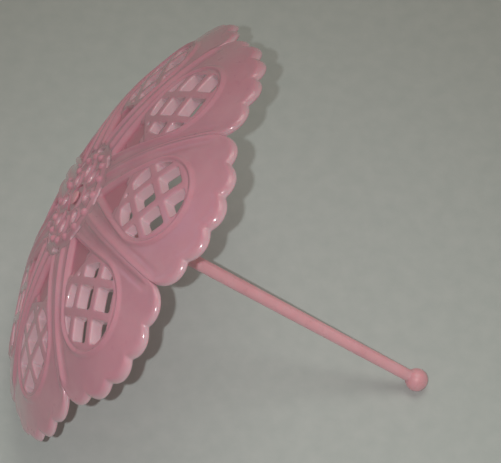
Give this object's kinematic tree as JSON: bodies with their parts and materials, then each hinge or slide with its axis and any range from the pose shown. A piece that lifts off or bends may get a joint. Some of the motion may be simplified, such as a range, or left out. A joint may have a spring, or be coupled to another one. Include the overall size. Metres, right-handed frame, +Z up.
{
  "type": "lace parasol",
  "caption": "Moulded toy parasol with an openwork petalled canopy that twirls on a slim ball-ended stick.",
  "frame": {"origin": "on the surface it lies on, under the middle of its bounding box", "axes": "+Z up from the surface it lies on, +X from the canopy towards the ball end of the stick, +Y across the canopy"},
  "size_m": [0.0936, 0.096, 0.083],
  "materials": {
    "canopy_plastic": "glossy moulded plastic",
    "stick_plastic": "satin moulded plastic"
  },
  "bodies": {
    "stick": {"stick": "stick_plastic", "ball_end": "stick_plastic", "button_head": "stick_plastic"},
    "canopy": {"petal_1": "canopy_plastic", "petal_2": "canopy_plastic", "petal_3": "canopy_plastic", "petal_4": "canopy_plastic", "petal_5": "canopy_plastic", "petal_6": "canopy_plastic", "petal_7": "canopy_plastic", "petal_8": "canopy_plastic", "rosette": "canopy_plastic", "socket": "canopy_plastic"}
  },
  "joints": [
    {"name": "canopy_twirl", "type": "hinge", "parent": "stick", "child": "canopy", "pos_m": [-0.02991, 0, 0.04723], "axis": [-0.8561, 0, 0.5169], "continuous": true}
  ]
}
